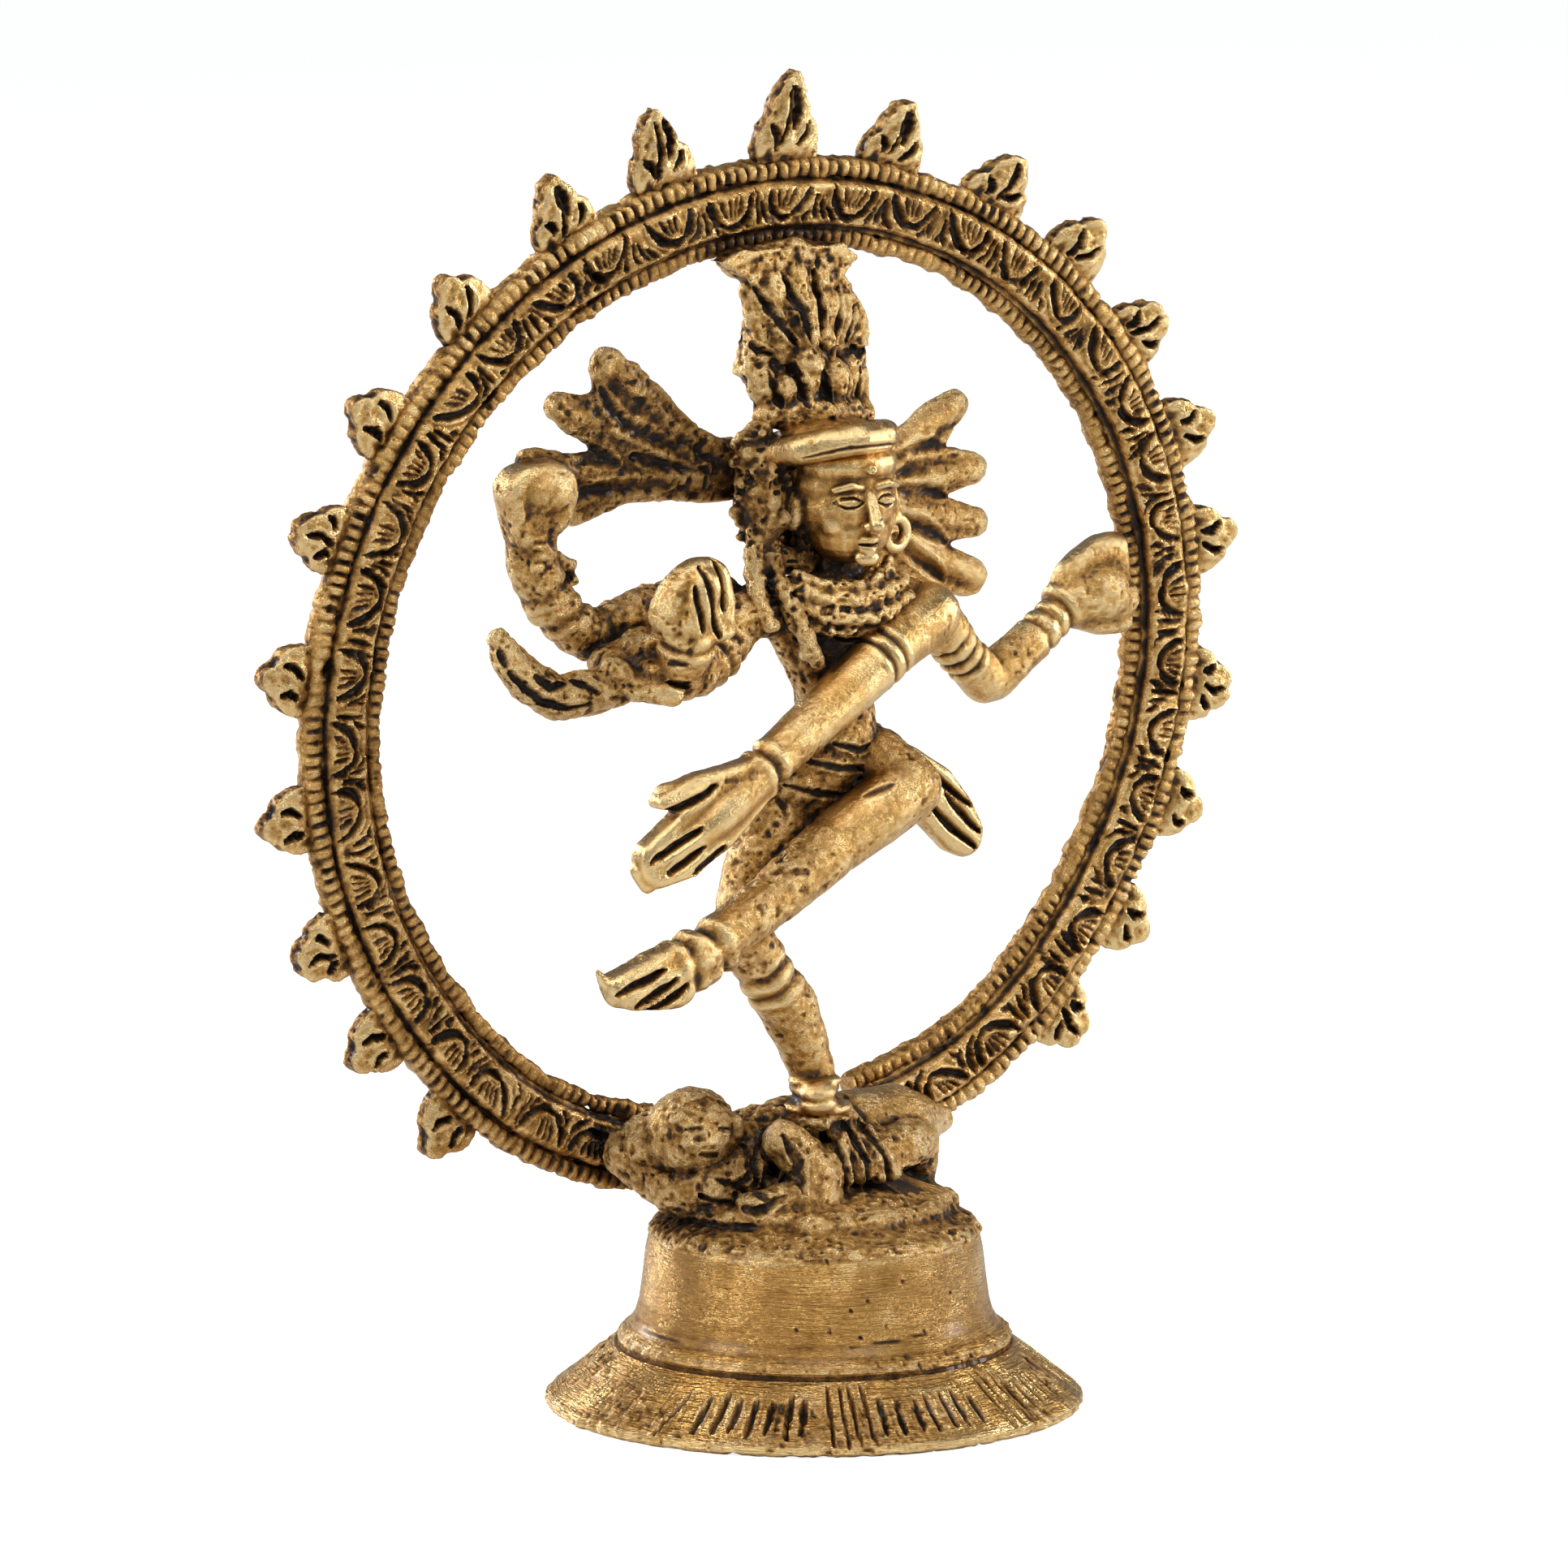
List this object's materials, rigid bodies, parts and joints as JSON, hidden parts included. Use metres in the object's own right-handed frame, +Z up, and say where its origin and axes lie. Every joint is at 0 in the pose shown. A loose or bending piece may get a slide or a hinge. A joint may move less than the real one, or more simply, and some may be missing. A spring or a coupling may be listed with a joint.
{
  "type": "dancer in a ring of flames statue",
  "caption": "Cast brass four-armed dancer on one leg, inside an upright ring of flames, standing on a lying dwarf and a round flared base.",
  "frame": {"origin": "middle of the flat underside of the base", "axes": "+Z up, the dancer faces -Y, +X is on the viewer's right"},
  "size_m": [0.1077, 0.0498, 0.1239],
  "materials": {
    "cast_brass": "cast and filed, bright on the high places, dark brown patina in the cuts",
    "rough_brass": "as cast, pitted, with dark patina left in the pits",
    "brushed_brass": "brushed round the drum, with a few casting pores"
  },
  "bodies": {
    "root": {"base_plinth": "brushed_brass", "ring_band": "cast_brass", "ring_outer_beads": "cast_brass", "ring_inner_beads": "cast_brass", "flame_01": "cast_brass", "flame_02": "cast_brass", "flame_03": "cast_brass", "flame_04": "cast_brass", "flame_05": "cast_brass", "flame_06": "cast_brass", "flame_07": "cast_brass", "flame_08": "cast_brass", "flame_09": "cast_brass", "flame_10": "cast_brass", "flame_11": "cast_brass", "flame_12": "cast_brass", "flame_13": "cast_brass", "flame_14": "cast_brass", "flame_15": "cast_brass", "flame_16": "cast_brass", "flame_17": "cast_brass", "flame_18": "cast_brass", "flame_19": "cast_brass", "flame_20": "cast_brass", "flame_21": "cast_brass", "dwarf_bed": "rough_brass", "dwarf_head": "rough_brass", "dwarf_torso": "rough_brass", "dwarf_hips": "rough_brass", "dwarf_arm": "rough_brass", "dwarf_leg": "rough_brass", "torso": "cast_brass", "loincloth": "cast_brass", "necklace": "cast_brass", "head": "cast_brass", "headband": "cast_brass", "crown": "cast_brass", "hair_curls": "rough_brass", "hair_strands": "rough_brass", "hair_fan_right": "rough_brass", "hair_fan_left": "rough_brass", "front_left_upper_arm": "cast_brass", "front_left_forearm": "cast_brass", "rear_left_upper_arm": "cast_brass", "rear_left_forearm": "cast_brass", "front_right_upper_arm": "cast_brass", "front_right_forearm": "cast_brass", "rear_right_upper_arm": "cast_brass", "rear_right_forearm": "cast_brass", "drum": "cast_brass", "snake": "rough_brass", "standing_thigh": "cast_brass", "standing_shin": "cast_brass", "standing_foot": "cast_brass", "raised_thigh": "cast_brass", "raised_shin": "cast_brass", "raised_foot": "cast_brass", "hip_sash": "cast_brass"}
  },
  "joints": []
}
